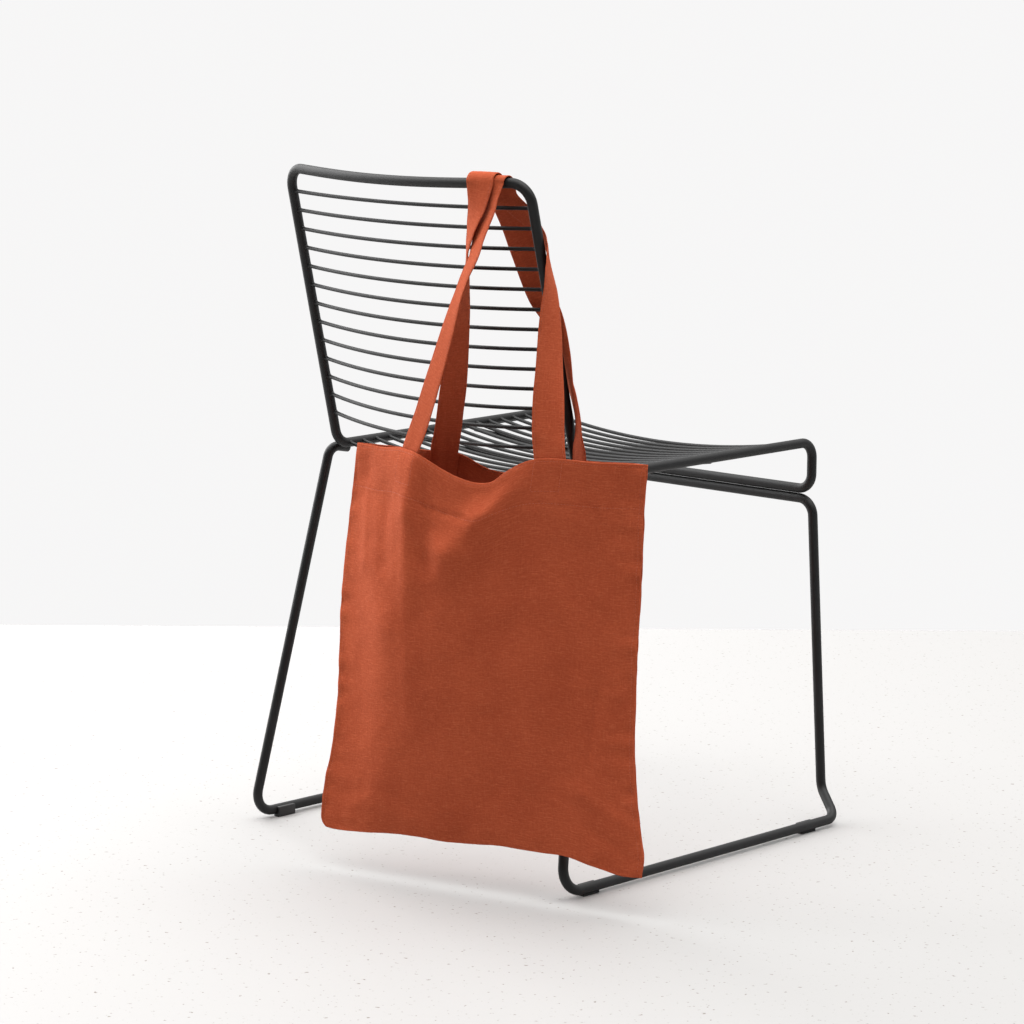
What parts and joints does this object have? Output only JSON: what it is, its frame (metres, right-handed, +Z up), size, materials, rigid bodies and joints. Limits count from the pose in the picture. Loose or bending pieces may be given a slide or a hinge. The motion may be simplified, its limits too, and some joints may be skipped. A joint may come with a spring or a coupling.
{
  "type": "shopping bag hanging on a wire chair",
  "caption": "Plain linen shopping bag hanging open by its two handles from the back corner of a wire-rod chair on sled legs.",
  "frame": {"origin": "centre of the bounding box's underside, where the chair's glides stand on the floor", "axes": "+Z up; +Y the way a sitter on the chair faces; +X the side of the chair that the bag hangs on"},
  "size_m": [0.6166, 0.5858, 0.7948],
  "materials": {
    "panel_linen": "plain-woven slubby linen, rust red",
    "strap_linen": "the same linen folded into a flat strap with topstitched edges",
    "powder_coat": "satin black powder coat on steel",
    "glide_plastic": "matt black plastic"
  },
  "bodies": {
    "root": {"front_panel": "panel_linen", "back_panel": "panel_linen", "front_handle": "strap_linen", "back_handle": "strap_linen", "frame": "powder_coat", "base": "powder_coat", "back_rod_01": "powder_coat", "back_rod_02": "powder_coat", "back_rod_03": "powder_coat", "back_rod_04": "powder_coat", "back_rod_05": "powder_coat", "back_rod_06": "powder_coat", "back_rod_07": "powder_coat", "back_rod_08": "powder_coat", "back_rod_09": "powder_coat", "back_rod_10": "powder_coat", "back_rod_11": "powder_coat", "back_rod_12": "powder_coat", "back_rod_13": "powder_coat", "seat_rod_01": "powder_coat", "seat_rod_02": "powder_coat", "seat_rod_03": "powder_coat", "seat_rod_04": "powder_coat", "seat_rod_05": "powder_coat", "seat_rod_06": "powder_coat", "seat_rod_07": "powder_coat", "seat_rod_08": "powder_coat", "seat_rod_09": "powder_coat", "seat_rod_10": "powder_coat", "seat_rod_11": "powder_coat", "seat_rod_12": "powder_coat", "seat_rod_13": "powder_coat", "seat_rod_14": "powder_coat", "seat_rod_15": "powder_coat", "seat_rod_16": "powder_coat", "seat_rod_17": "powder_coat", "seat_brace_1": "powder_coat", "seat_brace_2": "powder_coat", "glide_rear_left": "glide_plastic", "glide_rear_right": "glide_plastic", "glide_front_left": "glide_plastic", "glide_front_right": "glide_plastic"}
  },
  "joints": []
}
